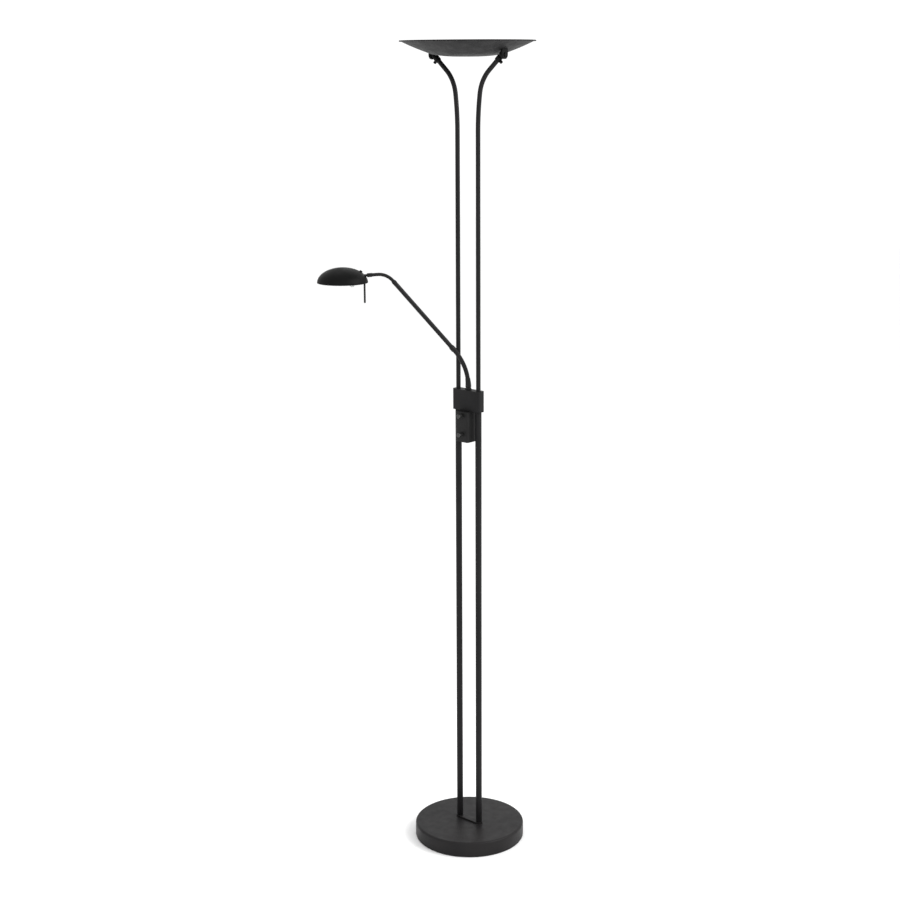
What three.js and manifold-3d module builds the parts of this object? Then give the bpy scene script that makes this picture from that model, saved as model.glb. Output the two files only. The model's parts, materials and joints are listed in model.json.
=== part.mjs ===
// A floor lamp with a wide dish uplighter and a reading arm. Millimetres, +Z up. The origin is the
// centre of the base on the floor, +X runs along the pair of poles and the knobs face -Y.
import * as THREE from "three";
import { mergeVertices } from "three/addons/utils/BufferGeometryUtils.js";
import Module from "manifold-3d";

const wasm = await Module();
wasm.setup();

// ---- Driving dimensions ----
const GAP = 0.3; // between pieces that rest on or seat in each other
const RUNNING_GAP = 0.1; // radial, between a turning pin and its bore

const BASE_RADIUS = 125;
const BASE_HEIGHT = 35;
const BASE_EDGE_RADIUS = 5;
const BASE_SHEET = 1.5;
const PAD_THICKNESS = 2;
const WEIGHT_THICKNESS = 19;

const POLE_SPACING = 58;
const LOWER_POLE_RADIUS = 7;
const UPPER_POLE_RADIUS = 5;
const POLE_WALL = 1;
const FOOT_PLATE = { width: 74, depth: 18, height: 3 };
const STUD_RADIUS = 4.5;
const WIRE_BORE_RADIUS = 3;
const CABLE_RADIUS = 2.2;

const BLOCK = { width: 78, depth: 21, height: 46, bottom: 1009.6, corner: 6 };
const SEAT_DEPTH = 14; // how far a pole or the arm's socket goes into the block

const HOUSING = { width: 35, height: 68, front: -22.6, back: 8, corner: 4, wall: 1.8 };
const KNOB = { radius: 5, length: 12, shaftRadius: 3, shaftLength: 9 };
const KNOB_DROPS = [9, 50.8]; // below the block

const BEND_START = 1612.4; // height at which the upper poles begin to lean out
const SLOW_BEND = { radius: 600, degrees: 7.5 };
const FAST_BEND = { radius: 78, degrees: 41 };
const POLE_TOP_RUN = 38; // straight length after the bends
const KNUCKLE_STEM = 9; // from the end of the pole to the tilt axis
const KNUCKLE_RADIUS = 6.5;
const KNUCKLE_THICKNESS = 6;
const KNUCKLE_NECK_RADIUS = 4.5;
const SOCKET_RADIUS = 6.6; // the knuckle's socket over the end of the pole
const SOCKET_DEPTH = 8;
const LUG_RADIUS = 9;
const LUG_THICKNESS = 5;
const PIVOT_RADIUS = 2.5;
const PIN_TIP = -2.4; // the pivot pin's inner end, from the middle of the knuckle
const PIN_HEAD = { radius: 4.6, height: 1.8 };

const DISH_RADIUS = 144;
const DISH_DEPTH = 33.7;
const DISH_FLOOR_RADIUS = 77; // the flatter middle of the dish
const DISH_FLOOR_RISE = 5.7;
const DISH_SHEET = 1.4;
const KNUCKLE_CLEARANCE = 1; // between the dish and the knuckles, at any tilt
const SMALL_SCREW = { shank: 1.4, hole: 1.9, head: 3.2, crown: 2.6, headHeight: 1.5 };

const LAMP = { radius: 5.5, length: 78, capRadius: 2.2, capLength: 4 };
const HOLDER = { length: 12, width: 16 };
const BRACKET = { width: 24, sheet: 1.5 };
const SHIELD = { width: 96, depth: 40, thickness: 2.5 };

const ARM_AZIMUTH = 225; // degrees from +X, seen from above
const ARM_SOCKET_RISE = 6;
const LOWER_GOOSENECK = { radius: 5, bendRadius: 125, degrees: 40.65 };
const ARM_TUBE = { radius: 4.8, length: 182 };
const UPPER_GOOSENECK = { radius: 3.8, bendRadius: 40, degrees: 53.35, run: 11 };
const FERRULE = { overTube: 1, lowerLength: 12, upperLength: 8, bore: 2.5 };
const NECK = { length: 20.5, overTube: 0.6, spigot: 9.6, spigotRadius: 2.8, bore: 1.6 };

const SHADE_RADIUS = 55.2;
const SHADE_HEIGHT = 32.7;
const SHADE_SHEET = 1.2;
const NECK_ABOVE_RIM = 14.6;
const HEAD_BLOCK = { length: 22, width: 14, height: 13, aheadOfTip: 8 };
const BULB = { radius: 6.8, drop: 10 };
const BULB_SOCKET = { length: 17, width: 18, height: 11 };
const GRIP = { radius: 2.2, drop: 45 };
const CAP_NUT = { shank: 1.7, hole: 2, head: 3.6, headHeight: 2.9 };

// ---- Values that follow from them ----
const poleX = POLE_SPACING / 2;
const padTop = PAD_THICKNESS;
const coverBottom = padTop + GAP;
const coverInner = BASE_HEIGHT - BASE_SHEET;
const weightBottom = padTop + 7;
const weightTop = weightBottom + WEIGHT_THICKNESS;
const plateTop = BASE_HEIGHT + GAP + FOOT_PLATE.height;
const blockTop = BLOCK.bottom + BLOCK.height;
const blockMiddle = BLOCK.bottom + BLOCK.height / 2;
const housingTop = BLOCK.bottom - GAP;
const housingBottom = housingTop - HOUSING.height;
const ROUND_STEPS = { large: 44, medium: 36, small: 20 };
const SIDES = [{ name: "left", sign: -1 }, { name: "right", sign: 1 }];

// ---- Colours ----
const BLACK_COAT = { color: 0x202020, roughness: 0.55, metalness: 0.3 };
const BLACK_PLASTIC = { color: 0x1b1b1b, roughness: 0.6, metalness: 0 };
const STEEL = { color: 0x9a9a9a, roughness: 0.35, metalness: 1 };
const IRON = { color: 0x4a4a4a, roughness: 0.8, metalness: 0.6 };
const RUBBER = { color: 0x2a2a2a, roughness: 0.9, metalness: 0 };
const BOARD = { color: 0x2e5a35, roughness: 0.6, metalness: 0 };
const CERAMIC = { color: 0xe6e2d8, roughness: 0.5, metalness: 0 };
const GLASS = { color: 0xdfe8ea, roughness: 0.1, metalness: 0 };

// ---- Solids: three.js makes the shapes, manifold-3d joins and cuts them ----
function toSolid(geometry) {
  const bare = geometry.index ? geometry.toNonIndexed() : geometry.clone();
  bare.deleteAttribute("normal");
  bare.deleteAttribute("uv");
  const merged = mergeVertices(bare, 1e-3);
  return new wasm.Manifold(new wasm.Mesh({
    numProp: 3,
    vertProperties: merged.attributes.position.array,
    triVerts: new Uint32Array(merged.index.array),
  }));
}

function toGeometry(solid) {
  const mesh = solid.getMesh();
  const geometry = new THREE.BufferGeometry();
  geometry.setAttribute("position", new THREE.BufferAttribute(mesh.vertProperties, 3));
  geometry.setIndex(new THREE.BufferAttribute(mesh.triVerts, 1));
  const faceted = geometry.toNonIndexed();
  faceted.computeVertexNormals();
  return faceted;
}

function cut(geometry, ...tools) {
  return toGeometry(tools.reduce((solid, tool) => solid.subtract(toSolid(tool)), toSolid(geometry)));
}

function join(geometry, ...others) {
  return toGeometry(others.reduce((solid, other) => solid.add(toSolid(other)), toSolid(geometry)));
}

// ---- Shapes ----
const AXES = {
  x: new THREE.Vector3(1, 0, 0),
  y: new THREE.Vector3(0, 1, 0),
  z: new THREE.Vector3(0, 0, 1),
};

// Turns a shape made along +Z so that it runs along the given direction.
function along(geometry, direction) {
  const turn = new THREE.Quaternion().setFromUnitVectors(AXES.z, direction.clone().normalize());
  return geometry.applyQuaternion(turn);
}

// A solid of revolution about +Z from a closed line of [radius, height] points.
function turned(profile, segments = ROUND_STEPS.small) {
  const points = profile.map(([radius, height]) => new THREE.Vector2(radius, height));
  return new THREE.LatheGeometry(points, segments).rotateX(Math.PI / 2);
}

function rod(radius, bottom, top, segments = ROUND_STEPS.small) {
  return turned([[0, bottom], [radius, bottom], [radius, top], [0, top]], segments);
}

function ring(outer, inner, bottom, top, segments = ROUND_STEPS.small) {
  const section = [[inner, bottom], [outer, bottom], [outer, top], [inner, top], [inner, bottom]];
  return turned(section, segments);
}

function box(width, depth, height, x = 0, y = 0, z = 0) {
  return new THREE.BoxGeometry(width, depth, height).translate(x, y, z + height / 2);
}

// A block with rounded upright edges that stands on z = 0.
function roundedBlock(width, depth, height, corner, curveSegments = 5) {
  const halfWidth = width / 2;
  const halfDepth = depth / 2;
  const r = Math.min(corner, halfWidth - 0.1, halfDepth - 0.1);
  const outline = new THREE.Shape();
  outline.moveTo(-halfWidth + r, -halfDepth);
  outline.lineTo(halfWidth - r, -halfDepth);
  outline.absarc(halfWidth - r, -halfDepth + r, r, -Math.PI / 2, 0);
  outline.absarc(halfWidth - r, halfDepth - r, r, 0, Math.PI / 2);
  outline.absarc(-halfWidth + r, halfDepth - r, r, Math.PI / 2, Math.PI);
  outline.absarc(-halfWidth + r, -halfDepth + r, r, Math.PI, Math.PI * 1.5);
  return new THREE.ExtrudeGeometry(outline, { depth: height, bevelEnabled: false, curveSegments });
}

// ---- Tubes that follow straights and bends ----
// A path known only by its stations, so that a tube has a ring just where it needs one.
class StationPath extends THREE.Curve {
  constructor(stations) {
    super();
    this.stations = stations;
  }
  station(u) {
    return this.stations[Math.round(u * (this.stations.length - 1))];
  }
  getPointAt(u) {
    return this.station(u).point.clone();
  }
  getTangentAt(u) {
    return this.station(u).tangent.clone();
  }
}

// Walks from a start along straights and bends, and notes the stations on the way.
function walk(start, heading, moves) {
  const stations = [{ point: start.clone(), tangent: heading.clone().normalize() }];
  for (const move of moves) {
    const { point, tangent } = stations.at(-1);
    if (move.straight !== undefined) {
      stations.push({ point: point.clone().addScaledVector(tangent, move.straight), tangent });
      continue;
    }
    const side = move.toward.clone().addScaledVector(tangent, -move.toward.dot(tangent)).normalize();
    const centre = point.clone().addScaledVector(side, move.radius);
    for (let step = 1; step <= move.steps; step += 1) {
      const angle = THREE.MathUtils.degToRad((move.degrees * step) / move.steps);
      stations.push({
        point: centre.clone()
          .addScaledVector(side, -move.radius * Math.cos(angle))
          .addScaledVector(tangent, move.radius * Math.sin(angle)),
        tangent: tangent.clone().multiplyScalar(Math.cos(angle)).addScaledVector(side, Math.sin(angle)),
      });
    }
  }
  return stations;
}

function tube(stations, radius, bore = 0, segments = 8) {
  const section = new THREE.Shape().absarc(0, 0, radius, 0, Math.PI * 2);
  if (bore > 0) section.holes.push(new THREE.Path().absarc(0, 0, bore, 0, Math.PI * 2, true));
  return new THREE.ExtrudeGeometry(section, {
    steps: stations.length - 1,
    curveSegments: segments,
    extrudePath: new StationPath(stations),
  });
}

// ---- The scene graph ----
const lamp = new THREE.Group();

function part(name, geometry, look, parent = lamp) {
  const mesh = new THREE.Mesh(geometry, new THREE.MeshStandardMaterial(look));
  mesh.name = name;
  parent.add(mesh);
  return mesh;
}

// ---- Base: pad, weight, spun cover and cable gland ----
const studHole = STUD_RADIUS + GAP;
const GLAND = { radius: 5, flange: 7.5, height: 16 };

function studHoles(radius, bottom, top) {
  return SIDES.map(({ sign }) => rod(radius, bottom, top, 12).translate(sign * poleX, 0, 0));
}

function makeBase() {
  const padRadius = BASE_RADIUS - BASE_SHEET;
  part("base_pad", rod(padRadius, 0, padTop, ROUND_STEPS.large), RUBBER);

  const weightRadius = BASE_RADIUS - BASE_SHEET - 6;
  const weight = rod(weightRadius, weightBottom, weightTop, ROUND_STEPS.medium);
  part("base_weight", cut(weight, ...studHoles(studHole, 0, BASE_HEIGHT)), IRON);

  const outer = [];
  const inner = [];
  const steps = 3;
  for (let step = 0; step <= steps; step += 1) {
    const angle = (Math.PI / 2) * (step / steps);
    const innerRadius = BASE_EDGE_RADIUS - BASE_SHEET;
    const centreR = BASE_RADIUS - BASE_EDGE_RADIUS;
    const centreZ = BASE_HEIGHT - BASE_EDGE_RADIUS;
    const corner = (radius) => [centreR + radius * Math.cos(angle), centreZ + radius * Math.sin(angle)];
    outer.push(corner(BASE_EDGE_RADIUS));
    inner.push(corner(innerRadius));
  }
  const cover = turned([
    [BASE_RADIUS - BASE_SHEET, coverBottom],
    [BASE_RADIUS, coverBottom],
    ...outer,
    [0, BASE_HEIGHT],
    [0, coverInner],
    ...inner.reverse(),
    [BASE_RADIUS - BASE_SHEET, coverBottom],
  ], ROUND_STEPS.large);
  const glandHole = along(rod(GLAND.radius + GAP, 0, BASE_RADIUS + 5, 20), AXES.y)
    .translate(0, 0, GLAND.height);
  part("base_cover", cut(cover, glandHole, ...studHoles(studHole, 0, BASE_HEIGHT + 5)), BLACK_COAT);

  const wall = BASE_RADIUS;
  const gland = turned([
    [CABLE_RADIUS + GAP, wall - 5.5],
    [GLAND.radius, wall - 5.5],
    [GLAND.radius, wall + GAP],
    [GLAND.flange, wall + GAP],
    [GLAND.flange, wall + 2.5],
    [GLAND.radius - 0.5, wall + 8],
    [CABLE_RADIUS + GAP, wall + 8],
    [CABLE_RADIUS + GAP, wall - 5.5],
  ], 20);
  part("cable_gland", along(gland, AXES.y).translate(0, 0, GLAND.height), RUBBER);

  const { width, depth, height } = FOOT_PLATE;
  const plate = roundedBlock(width, depth, height, depth / 2).translate(0, 0, BASE_HEIGHT + GAP);
  part("foot_plate", cut(plate, ...studHoles(studHole, BASE_HEIGHT, plateTop + 1)), BLACK_COAT);
}

// ---- Poles: studs and nuts, lower tubes, bent upper tubes and their knuckles ----
const STUD_INTO_POLE = 14;
const NUT = { radius: 8, height: 5 };
const POLE_SCREW = { shank: 1.4, hole: 1.7, head: 3.4, headHeight: 4.9, behindEnd: 3 };
const upperPoleBottom = blockTop - SEAT_DEPTH + GAP;
const lowerPoleTop = BLOCK.bottom + SEAT_DEPTH - GAP;

function poleStations(sign, bottom) {
  const outward = new THREE.Vector3(sign, 0, 0);
  return walk(new THREE.Vector3(sign * poleX, 0, bottom), AXES.z, [
    { straight: BEND_START - bottom },
    { ...SLOW_BEND, steps: 3, toward: outward },
    { ...FAST_BEND, steps: 8, toward: outward },
    { straight: POLE_TOP_RUN },
  ]);
}

const poleEnd = poleStations(1, upperPoleBottom).at(-1);
const tiltAxis = poleEnd.point.clone().addScaledVector(poleEnd.tangent, KNUCKLE_STEM);
const knuckleX = tiltAxis.x;
const tiltZ = tiltAxis.z;

function makePoles() {
  for (const { name, sign } of SIDES) {
    const nutBottom = weightBottom - GAP - NUT.height;
    const stud = ring(STUD_RADIUS, WIRE_BORE_RADIUS, nutBottom, plateTop + STUD_INTO_POLE);
    part(`base_stud_${name}`, stud, STEEL).position.x = sign * poleX;
    const nut = rod(NUT.radius, nutBottom, weightBottom - GAP, 6);
    const nutBore = rod(STUD_RADIUS + GAP, 0, weightBottom, 20);
    part(`base_nut_${name}`, cut(nut, nutBore), STEEL).position.x = sign * poleX;

    const lowerBore = LOWER_POLE_RADIUS - POLE_WALL;
    const lower = ring(LOWER_POLE_RADIUS, lowerBore, plateTop + GAP, lowerPoleTop);
    part(`lower_pole_${name}`, lower, BLACK_COAT).position.x = sign * poleX;
    const stations = poleStations(sign, upperPoleBottom);
    const upper = tube(stations, UPPER_POLE_RADIUS, UPPER_POLE_RADIUS - POLE_WALL, 7);
    part(`upper_pole_${name}`, upper, BLACK_COAT);
    makeKnuckle(name, sign);
  }
}

// A disc on the tilt axis with a stem that sockets over the end of the pole.
function makeKnuckle(name, sign) {
  const outboard = new THREE.Vector3(sign, 0, 0);
  const lean = new THREE.Vector3(sign * poleEnd.tangent.x, 0, poleEnd.tangent.z);
  const back = lean.clone().negate();
  const centre = new THREE.Vector3(sign * knuckleX, 0, tiltZ);
  const end = new THREE.Vector3(sign * poleEnd.point.x, 0, poleEnd.point.z);
  const place = (shape, direction, point) => along(shape, direction).translate(point.x, point.y, point.z);
  const half = KNUCKLE_THICKNESS / 2;

  const stem = place(rod(SOCKET_RADIUS, KNUCKLE_RADIUS - KNUCKLE_STEM, SOCKET_DEPTH), back, end);
  const neck = place(rod(KNUCKLE_NECK_RADIUS, 0, KNUCKLE_STEM), back, centre);
  const disc = place(rod(KNUCKLE_RADIUS, -half, half), AXES.x, centre);
  const socket = place(rod(UPPER_POLE_RADIUS + GAP, -GAP, SOCKET_DEPTH + 1), back, end);
  const pivotBore = rod(PIVOT_RADIUS + RUNNING_GAP, PIN_TIP - GAP, KNUCKLE_THICKNESS);
  const pivot = place(pivotBore, outboard, centre);
  const down = new THREE.Vector3(sign * poleEnd.tangent.z, 0, -poleEnd.tangent.x);
  const screwFoot = end.clone().addScaledVector(back, POLE_SCREW.behindEnd);
  const screwHole = place(rod(POLE_SCREW.hole, 0, SOCKET_RADIUS + 1, 12), down, screwFoot);
  const body = join(stem, neck, disc);
  part(`knuckle_${name}`, cut(body, socket, pivot, screwHole), BLACK_COAT);

  const seat = SOCKET_RADIUS + GAP;
  const screw = turned([
    [0, UPPER_POLE_RADIUS + GAP],
    [POLE_SCREW.shank, UPPER_POLE_RADIUS + GAP],
    [POLE_SCREW.shank, seat],
    [POLE_SCREW.head, seat],
    [POLE_SCREW.head, seat + POLE_SCREW.headHeight - 0.7],
    [POLE_SCREW.head - 0.6, seat + POLE_SCREW.headHeight],
    [0, seat + POLE_SCREW.headHeight],
  ], 12);
  part(`socket_screw_${name}`, place(screw, down, screwFoot), BLACK_COAT);
}

// ---- Block between the lower and upper poles ----
const SET_SCREW = { radius: 2, hole: 2.3 };
const socketBoreRadius = 4.5;
const WIRE_CHANNEL = 3.5;

function makeBlock() {
  const body = roundedBlock(BLOCK.width, BLOCK.depth, BLOCK.height, BLOCK.corner)
    .translate(0, 0, BLOCK.bottom);
  const tools = [
    rod(socketBoreRadius + GAP, blockTop - SEAT_DEPTH, blockTop + 1),
    rod(WIRE_CHANNEL, BLOCK.bottom - 1, blockTop - SEAT_DEPTH + 1, 12),
    along(rod(WIRE_CHANNEL, -poleX, poleX, 12), AXES.x).translate(0, 0, blockMiddle),
  ];
  for (const { sign } of SIDES) {
    const lowerSeat = rod(LOWER_POLE_RADIUS + GAP, BLOCK.bottom - 1, BLOCK.bottom + SEAT_DEPTH);
    const upperSeat = rod(UPPER_POLE_RADIUS + GAP, blockTop - SEAT_DEPTH, blockTop + 1);
    const channel = rod(WIRE_CHANNEL, BLOCK.bottom, blockTop, 12);
    const screwBore = along(rod(SET_SCREW.hole, 0, BLOCK.depth, 12), AXES.y)
      .translate(0, 0, blockTop - SEAT_DEPTH / 2);
    for (const tool of [lowerSeat, upperSeat, channel, screwBore]) {
      tools.push(tool.translate(sign * poleX, 0, 0));
    }
  }
  part("pole_block", cut(body, ...tools), BLACK_COAT);
  for (const { name, sign } of SIDES) {
    const screw = rod(SET_SCREW.radius, UPPER_POLE_RADIUS + GAP, BLOCK.depth / 2 - 0.5, 12);
    part(`block_screw_${name}`, along(screw, AXES.y), STEEL)
      .position.set(sign * poleX, 0, blockTop - SEAT_DEPTH / 2);
  }
}

// ---- Control housing: shell, rear cover, board, two dimmers and their knobs ----
const COVER_THICKNESS = 1.5;
const BOARD_THICKNESS = 1.6;
const COVER_SCREW = { radius: 1.5, boss: 3.5, head: 2.8, headHeight: 1.4 };

function makeHousing() {
  const depth = HOUSING.back - HOUSING.front;
  const middleY = (HOUSING.back + HOUSING.front) / 2;
  const knobHoles = KNOB_DROPS.map((drop) => along(rod(KNOB.shaftRadius + 0.5, 0, 12, 20), AXES.y)
    .translate(0, HOUSING.front - 6, housingTop - drop));
  const hollow = box(
    HOUSING.width - 2 * HOUSING.wall,
    depth + 10,
    HOUSING.height - 2 * HOUSING.wall,
    0,
    HOUSING.front + HOUSING.wall + (depth + 10) / 2,
    housingBottom + HOUSING.wall,
  );
  const wireHole = rod(WIRE_CHANNEL, housingTop - 5, housingTop + 5, 12);
  const shell = roundedBlock(HOUSING.width, depth, HOUSING.height, HOUSING.corner)
    .translate(0, middleY, housingBottom);
  part("control_housing", cut(shell, hollow, wireHole, ...knobHoles), BLACK_PLASTIC);

  const inset = HOUSING.wall + GAP;
  const screwZ = [housingTop - 8, housingBottom + 8];
  const boardY = HOUSING.front + HOUSING.wall + 12;
  const coverY = HOUSING.back - COVER_THICKNESS;
  const cover = box(
    HOUSING.width - 2 * inset,
    COVER_THICKNESS,
    HOUSING.height - 2 * inset,
    0,
    coverY + COVER_THICKNESS / 2,
    housingBottom + inset,
  );
  const boardBack = boardY + BOARD_THICKNESS + GAP;
  const bosses = screwZ.map((z) => along(rod(COVER_SCREW.boss, boardBack, coverY + 0.5, 12), AXES.y)
    .translate(0, 0, z));
  const boreRadius = COVER_SCREW.radius + GAP;
  const bores = screwZ.map((z) => along(rod(boreRadius, boardY, HOUSING.back + 1, 12), AXES.y)
    .translate(0, 0, z));
  part("housing_cover", cut(join(cover, ...bosses), ...bores), BLACK_PLASTIC);
  ["upper", "lower"].forEach((name, index) => {
    const screw = turned([
      [0, boardBack + 2],
      [COVER_SCREW.radius, boardBack + 2],
      [COVER_SCREW.radius, HOUSING.back + GAP],
      [COVER_SCREW.head, HOUSING.back + GAP],
      [COVER_SCREW.head * 0.8, HOUSING.back + GAP + COVER_SCREW.headHeight],
      [0, HOUSING.back + GAP + COVER_SCREW.headHeight],
    ], 12);
    part(`cover_screw_${name}`, along(screw, AXES.y), STEEL).position.z = screwZ[index];
  });

  const boardHeight = HOUSING.height - 2 * HOUSING.wall - 2;
  part("circuit_board", box(
    HOUSING.width - 2 * HOUSING.wall - 2,
    BOARD_THICKNESS,
    boardHeight,
    0,
    boardY + BOARD_THICKNESS / 2,
    housingBottom + HOUSING.wall + 1,
  ), BOARD);
  ["upper", "lower"].forEach((name, index) => {
    const z = housingTop - KNOB_DROPS[index];
    const front = HOUSING.front + HOUSING.wall + GAP;
    const body = roundedBlock(14, 14, boardY - GAP - front, 2, 2)
      .rotateX(-Math.PI / 2)
      .translate(0, front, z);
    const bore = along(rod(KNOB.shaftRadius + RUNNING_GAP, front - 1, front + KNOB.shaftLength), AXES.y)
      .translate(0, 0, z);
    part(`${name}_dimmer`, cut(body, bore), BLACK_PLASTIC);
    makeKnob(name, z);
  });
}

// A knob and its shaft, turned as one piece, with a pointer groove cut across its face.
function makeKnob(name, z) {
  const back = HOUSING.front - 0.6;
  const face = back - KNOB.length;
  const knob = along(turned([
    [0, face],
    [KNOB.radius - 1.4, face],
    [KNOB.radius - 0.7, face + 0.5],
    [KNOB.radius - 0.4, face + 1.4],
    [KNOB.radius, back],
    [KNOB.shaftRadius, back],
    [KNOB.shaftRadius, back + KNOB.shaftLength],
    [0, back + KNOB.shaftLength],
  ]), AXES.y);
  const groove = box(1, 1.2, KNOB.radius, 0, face, 0.5);
  part(`${name}_knob`, cut(knob, groove), BLACK_PLASTIC).position.z = z;
}

// ---- Wiring inside the poles ----
function makeCables() {
  const inward = AXES.x;
  const supply = walk(new THREE.Vector3(-poleX, 0, weightTop + 6), AXES.z, [
    { straight: blockMiddle - weightTop - 12 },
    { radius: 6, degrees: 90, steps: 4, toward: inward },
    { straight: poleX - 14 },
  ]);
  part("supply_cable", tube(supply, CABLE_RADIUS / 2, 0, 4), RUBBER);
  const feed = poleStations(1, blockMiddle + 4);
  part("dish_cable", tube(feed, CABLE_RADIUS / 2, 0, 4), RUBBER);
}

// ---- Dish: spun bowl on two lugs, with a linear lamp under a glass shield ----
const RIM_LIP = 0.8;
const DISH_FLARE = 0.13; // how much the slope steepens towards the rim

// The height of the dish's underside over its lowest point, at a radius.
function dishRise(radius) {
  if (radius <= DISH_FLOOR_RADIUS) return DISH_FLOOR_RISE * (radius / DISH_FLOOR_RADIUS) ** 3;
  const t = (radius - DISH_FLOOR_RADIUS) / (DISH_RADIUS - DISH_FLOOR_RADIUS);
  const sweep = DISH_DEPTH - DISH_FLOOR_RISE;
  return DISH_FLOOR_RISE + sweep * ((1 - DISH_FLARE) * t + DISH_FLARE * t ** 3);
}

const slopeSteps = 4;
const dishRadii = [40, 60, DISH_FLOOR_RADIUS];
for (let step = 1; step <= slopeSteps; step += 1) {
  dishRadii.push(DISH_FLOOR_RADIUS + ((DISH_RADIUS - DISH_FLOOR_RADIUS) * step) / slopeSteps);
}

function dishLine(offset) {
  return [0, ...dishRadii].map((radius) => [radius, dishRise(radius) + offset]);
}

// The rise of the underside itself, which is straight between the radii above.
function undersideRise(radius) {
  const line = dishLine(0);
  const after = Math.max(1, line.findIndex(([reach]) => reach >= radius));
  const [[r0, z0], [r1, z1]] = [line[after - 1], line[after]];
  return z0 + ((z1 - z0) * (radius - r0)) / (r1 - r0);
}

// The dish sits as low as the knuckles let it tilt.
const knuckleInnerFace = knuckleX - KNUCKLE_THICKNESS / 2;
const dishBottom = tiltZ + KNUCKLE_RADIUS + KNUCKLE_CLEARANCE - undersideRise(knuckleInnerFace);
const rimZ = dishBottom + DISH_DEPTH;

function dishUnderside(radius) {
  return dishBottom + undersideRise(radius);
}

function makeDish() {
  const outer = dishLine(0);
  const inner = dishLine(DISH_SHEET).slice(0, -1).reverse();
  const bowl = turned([
    ...outer,
    [DISH_RADIUS - RIM_LIP, DISH_DEPTH],
    ...inner,
  ], ROUND_STEPS.large).translate(0, 0, dishBottom);
  const holes = SIDES.flatMap(({ sign }) => [
    rod(SMALL_SCREW.hole, dishBottom - 1, rimZ, 12).translate(sign * lugX, 0, 0),
    rod(SMALL_SCREW.hole, studSeat, rimZ, 12).translate(sign * bracketStudX, 0, 0),
  ]);
  part("dish_bowl", cut(bowl, ...holes), BLACK_COAT);
  SIDES.forEach(({ name, sign }) => makeLug(name, sign));
  makeLampGear();
}

const lugX = knuckleX + KNUCKLE_THICKNESS / 2 + GAP + LUG_THICKNESS / 2;
const bracketStudX = 16;
const DISH_SKIN = 0.6; // left under a stud that is sunk into the dish from inside
const studSeat = dishUnderside(bracketStudX + SMALL_SCREW.hole) + DISH_SKIN;

// A cheek beside the knuckle whose top follows the dish, with its pivot pin and the screw that holds it.
function makeLug(name, sign) {
  const centre = new THREE.Vector3(sign * lugX, 0, tiltZ);
  const half = LUG_THICKNESS / 2;
  const cheek = along(rod(LUG_RADIUS, -half, half), AXES.x).translate(...centre.toArray());
  const web = box(LUG_THICKNESS, 2 * LUG_RADIUS, 20, centre.x, 0, tiltZ);
  const aboveDish = turned([
    ...dishLine(-GAP),
    [DISH_RADIUS, DISH_DEPTH + LUG_RADIUS],
    [0, DISH_DEPTH + LUG_RADIUS],
  ], ROUND_STEPS.large).translate(0, 0, dishBottom);
  const pivot = along(rod(PIVOT_RADIUS + GAP, -20, 20), AXES.x).translate(...centre.toArray());
  const screwHole = rod(SMALL_SCREW.hole, tiltZ + PIVOT_RADIUS + 1, rimZ, 12)
    .translate(centre.x, 0, 0);
  part(`dish_lug_${name}`, cut(join(cheek, web), aboveDish, pivot, screwHole), BLACK_COAT);

  const outboard = lugX + half - knuckleX + GAP;
  const pin = turned([
    [0, PIN_TIP],
    [PIVOT_RADIUS, PIN_TIP],
    [PIVOT_RADIUS, outboard],
    [PIN_HEAD.radius, outboard],
    [PIN_HEAD.radius - 0.8, outboard + PIN_HEAD.height],
    [0, outboard + PIN_HEAD.height],
  ]);
  part(`pivot_pin_${name}`, along(pin, new THREE.Vector3(sign, 0, 0)), STEEL)
    .position.set(sign * knuckleX, 0, tiltZ);

  const inside = dishUnderside(lugX + SMALL_SCREW.head) + DISH_SHEET + GAP;
  const screw = smallScrew(tiltZ + PIVOT_RADIUS + 2, inside);
  part(`lug_screw_${name}`, screw, STEEL).position.x = sign * lugX;
}

// A shank that rises to a low head.
function smallScrew(foot, seat) {
  return turned([
    [0, foot],
    [SMALL_SCREW.shank, foot],
    [SMALL_SCREW.shank, seat],
    [SMALL_SCREW.head, seat],
    [SMALL_SCREW.crown, seat + SMALL_SCREW.headHeight],
    [0, seat + SMALL_SCREW.headHeight],
  ], 12);
}

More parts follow.
